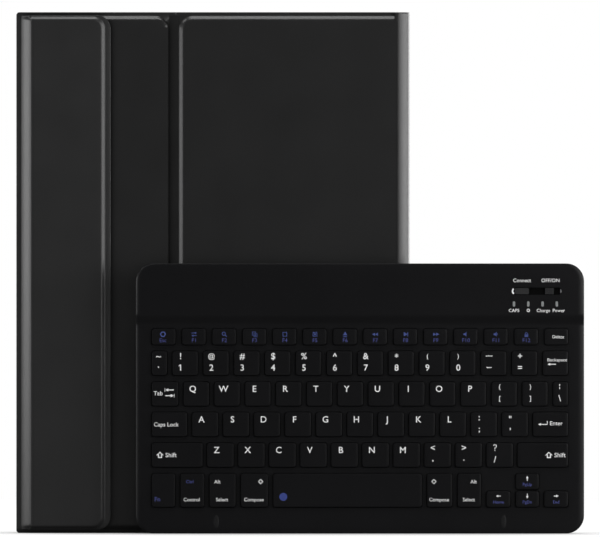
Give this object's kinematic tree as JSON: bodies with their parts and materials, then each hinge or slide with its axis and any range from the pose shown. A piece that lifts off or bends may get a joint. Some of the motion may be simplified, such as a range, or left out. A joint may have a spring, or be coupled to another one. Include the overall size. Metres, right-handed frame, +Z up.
{
  "type": "tablet keyboard case",
  "caption": "Folio case for a tablet with a folding back, a closing flap and a detachable wireless keyboard.",
  "frame": {"origin": "middle of the back cover's lower edge, in the middle of its leather", "axes": "+Z up the standing case, +Y from the back cover to the front cover, +X towards the spine"},
  "size_m": [0.2788, 0.0439, 0.256],
  "materials": {
    "leather_black": "satin grained leather",
    "lining": "brushed microfibre",
    "board": "pressed card",
    "shell_plastic": "satin",
    "keyboard_plastic": "fine matt",
    "key_plastic": "satin",
    "switch_plastic": "satin",
    "steel": "brushed",
    "magnet": "polished",
    "dome_rubber": "translucent",
    "foot_rubber": "matt",
    "battery_foil": "foil",
    "circuit": "solder mask",
    "light_pipe": "frosted clear"
  },
  "bodies": {
    "back_cover_lower": {"lower_back_leather": "leather_black", "lower_back_board": "board", "lower_back_lining": "lining"},
    "back_cover_upper": {"upper_back_leather": "leather_black", "upper_back_board": "board", "upper_back_lining": "lining", "tablet_shell": "shell_plastic", "flap_gusset": "leather_black"},
    "closing_flap": {"flap_leather": "leather_black", "flap_board": "board", "flap_lining": "leather_black", "flap_magnets": "magnet"},
    "spine": {"spine_leather": "leather_black", "spine_board": "board", "spine_lining": "lining"},
    "front_cover": {"front_leather": "leather_black", "front_board": "board", "front_lining": "lining", "front_magnets": "magnet"},
    "keyboard": {"top_case": "keyboard_plastic", "bottom_case": "keyboard_plastic", "key_plate": "steel", "dome_sheet": "dome_rubber", "battery": "battery_foil", "circuit_board": "circuit", "charging_port": "steel", "status_lights": "light_pipe", "rubber_feet": "foot_rubber", "case_screws": "steel", "keyboard_magnets": "magnet"},
    "power_switch": {"switch_knob": "switch_plastic"},
    "connect": {"connect_button": "switch_plastic"},
    "key_arrow_down": {"key_arrow_down": "key_plastic"},
    "key_arrow_left": {"key_arrow_left": "key_plastic"},
    "key_arrow_right": {"key_arrow_right": "key_plastic"},
    "key_arrow_up": {"key_arrow_up": "key_plastic"},
    "key_backspace": {"key_backspace": "key_plastic"},
    "key_caps_lock": {"key_caps_lock": "key_plastic"},
    "key_delete": {"key_delete": "key_plastic"},
    "key_enter": {"key_enter": "key_plastic"},
    "key_escape": {"key_escape": "key_plastic"},
    "key_fn": {"key_fn": "key_plastic"},
    "key_shift_left": {"key_shift_left": "key_plastic"},
    "key_shift_right": {"key_shift_right": "key_plastic"},
    "key_space": {"key_space": "key_plastic"},
    "key_tab": {"key_tab": "key_plastic"},
    "keys_function_left": {"keys_function_left": "key_plastic"},
    "keys_function_right": {"keys_function_right": "key_plastic"},
    "keys_home_left": {"keys_home_left": "key_plastic"},
    "keys_home_right": {"keys_home_right": "key_plastic"},
    "keys_lower_left": {"keys_lower_left": "key_plastic"},
    "keys_lower_right": {"keys_lower_right": "key_plastic"},
    "keys_modifier_left": {"keys_modifier_left": "key_plastic"},
    "keys_modifier_right": {"keys_modifier_right": "key_plastic"},
    "keys_number_left": {"keys_number_left": "key_plastic"},
    "keys_number_right": {"keys_number_right": "key_plastic"},
    "keys_upper_left": {"keys_upper_left": "key_plastic"},
    "keys_upper_right": {"keys_upper_right": "key_plastic"}
  },
  "joints": [
    {"name": "case_open", "type": "hinge", "parent": "back_cover_lower", "child": "spine", "pos_m": [0.0967, -0.0004, 0], "axis": [0, 0, -1], "range_deg": [0, 90]},
    {"name": "case_open_cover", "type": "hinge", "parent": "spine", "child": "front_cover", "pos_m": [0.0967, 0.0178, 0], "axis": [0, 0, -1], "range_deg": [0, 90]},
    {"name": "case_open_stand", "type": "hinge", "parent": "back_cover_lower", "child": "back_cover_upper", "pos_m": [-0.0182, -0.0004, 0], "axis": [0, 0, 1], "range_deg": [0, 36]},
    {"name": "closing_flap_swing", "type": "hinge", "parent": "back_cover_upper", "child": "closing_flap", "pos_m": [-0.0928, -0.0023, 0], "axis": [0, 0, -1], "range_deg": [0, 180]},
    {"name": "detach_keyboard", "type": "slide", "parent": "back_cover_lower", "child": "keyboard", "axis": [0, -1, 0], "range_m": [0, 0.08]},
    {"name": "connect_press", "type": "slide", "parent": "keyboard", "child": "connect", "axis": [0, 1, 0], "range_m": [0, 0.0004], "stiffness_N_per_m": 800},
    {"name": "power_slide", "type": "slide", "parent": "keyboard", "child": "power_switch", "axis": [1, 0, 0], "range_m": [0, 0.0026]},
    {"name": "key_press_arrow_down", "type": "slide", "parent": "keyboard", "child": "key_arrow_down", "axis": [0, 1, 0], "range_m": [0, 0.0011], "stiffness_N_per_m": 200, "deforming": ["dome_sheet"]},
    {"name": "key_press_arrow_left", "type": "slide", "parent": "keyboard", "child": "key_arrow_left", "axis": [0, 1, 0], "range_m": [0, 0.0011], "stiffness_N_per_m": 200, "deforming": ["dome_sheet"]},
    {"name": "key_press_arrow_right", "type": "slide", "parent": "keyboard", "child": "key_arrow_right", "axis": [0, 1, 0], "range_m": [0, 0.0011], "stiffness_N_per_m": 200, "deforming": ["dome_sheet"]},
    {"name": "key_press_arrow_up", "type": "slide", "parent": "keyboard", "child": "key_arrow_up", "axis": [0, 1, 0], "range_m": [0, 0.0011], "stiffness_N_per_m": 200, "deforming": ["dome_sheet"]},
    {"name": "key_press_backspace", "type": "slide", "parent": "keyboard", "child": "key_backspace", "axis": [0, 1, 0], "range_m": [0, 0.0011], "stiffness_N_per_m": 200, "deforming": ["dome_sheet"]},
    {"name": "key_press_caps_lock", "type": "slide", "parent": "keyboard", "child": "key_caps_lock", "axis": [0, 1, 0], "range_m": [0, 0.0011], "stiffness_N_per_m": 200, "deforming": ["dome_sheet"]},
    {"name": "key_press_delete", "type": "slide", "parent": "keyboard", "child": "key_delete", "axis": [0, 1, 0], "range_m": [0, 0.0011], "stiffness_N_per_m": 200, "deforming": ["dome_sheet"]},
    {"name": "key_press_enter", "type": "slide", "parent": "keyboard", "child": "key_enter", "axis": [0, 1, 0], "range_m": [0, 0.0011], "stiffness_N_per_m": 200, "deforming": ["dome_sheet"]},
    {"name": "key_press_escape", "type": "slide", "parent": "keyboard", "child": "key_escape", "axis": [0, 1, 0], "range_m": [0, 0.0011], "stiffness_N_per_m": 200, "deforming": ["dome_sheet"]},
    {"name": "key_press_fn", "type": "slide", "parent": "keyboard", "child": "key_fn", "axis": [0, 1, 0], "range_m": [0, 0.0011], "stiffness_N_per_m": 200, "deforming": ["dome_sheet"]},
    {"name": "key_press_shift_left", "type": "slide", "parent": "keyboard", "child": "key_shift_left", "axis": [0, 1, 0], "range_m": [0, 0.0011], "stiffness_N_per_m": 200, "deforming": ["dome_sheet"]},
    {"name": "key_press_shift_right", "type": "slide", "parent": "keyboard", "child": "key_shift_right", "axis": [0, 1, 0], "range_m": [0, 0.0011], "stiffness_N_per_m": 200, "deforming": ["dome_sheet"]},
    {"name": "key_press_space", "type": "slide", "parent": "keyboard", "child": "key_space", "axis": [0, 1, 0], "range_m": [0, 0.0011], "stiffness_N_per_m": 200, "deforming": ["dome_sheet"]},
    {"name": "key_press_tab", "type": "slide", "parent": "keyboard", "child": "key_tab", "axis": [0, 1, 0], "range_m": [0, 0.0011], "stiffness_N_per_m": 200, "deforming": ["dome_sheet"]},
    {"name": "keys_press_function_left", "type": "slide", "parent": "keyboard", "child": "keys_function_left", "axis": [0, 1, 0], "range_m": [0, 0.0011], "stiffness_N_per_m": 300, "deforming": ["dome_sheet"]},
    {"name": "keys_press_function_right", "type": "slide", "parent": "keyboard", "child": "keys_function_right", "axis": [0, 1, 0], "range_m": [0, 0.0011], "stiffness_N_per_m": 300, "deforming": ["dome_sheet"]},
    {"name": "keys_press_home_left", "type": "slide", "parent": "keyboard", "child": "keys_home_left", "axis": [0, 1, 0], "range_m": [0, 0.0011], "stiffness_N_per_m": 300, "deforming": ["dome_sheet"]},
    {"name": "keys_press_home_right", "type": "slide", "parent": "keyboard", "child": "keys_home_right", "axis": [0, 1, 0], "range_m": [0, 0.0011], "stiffness_N_per_m": 300, "deforming": ["dome_sheet"]},
    {"name": "keys_press_lower_left", "type": "slide", "parent": "keyboard", "child": "keys_lower_left", "axis": [0, 1, 0], "range_m": [0, 0.0011], "stiffness_N_per_m": 300, "deforming": ["dome_sheet"]},
    {"name": "keys_press_lower_right", "type": "slide", "parent": "keyboard", "child": "keys_lower_right", "axis": [0, 1, 0], "range_m": [0, 0.0011], "stiffness_N_per_m": 300, "deforming": ["dome_sheet"]},
    {"name": "keys_press_modifier_left", "type": "slide", "parent": "keyboard", "child": "keys_modifier_left", "axis": [0, 1, 0], "range_m": [0, 0.0011], "stiffness_N_per_m": 300, "deforming": ["dome_sheet"]},
    {"name": "keys_press_modifier_right", "type": "slide", "parent": "keyboard", "child": "keys_modifier_right", "axis": [0, 1, 0], "range_m": [0, 0.0011], "stiffness_N_per_m": 300, "deforming": ["dome_sheet"]},
    {"name": "keys_press_number_left", "type": "slide", "parent": "keyboard", "child": "keys_number_left", "axis": [0, 1, 0], "range_m": [0, 0.0011], "stiffness_N_per_m": 300, "deforming": ["dome_sheet"]},
    {"name": "keys_press_number_right", "type": "slide", "parent": "keyboard", "child": "keys_number_right", "axis": [0, 1, 0], "range_m": [0, 0.0011], "stiffness_N_per_m": 300, "deforming": ["dome_sheet"]},
    {"name": "keys_press_upper_left", "type": "slide", "parent": "keyboard", "child": "keys_upper_left", "axis": [0, 1, 0], "range_m": [0, 0.0011], "stiffness_N_per_m": 300, "deforming": ["dome_sheet"]},
    {"name": "keys_press_upper_right", "type": "slide", "parent": "keyboard", "child": "keys_upper_right", "axis": [0, 1, 0], "range_m": [0, 0.0011], "stiffness_N_per_m": 300, "deforming": ["dome_sheet"]}
  ],
  "couplings": [
    {"joint": "case_open_cover", "follows": "case_open", "ratio": 1},
    {"joint": "case_open_stand", "follows": "case_open", "ratio": 0.4}
  ]
}
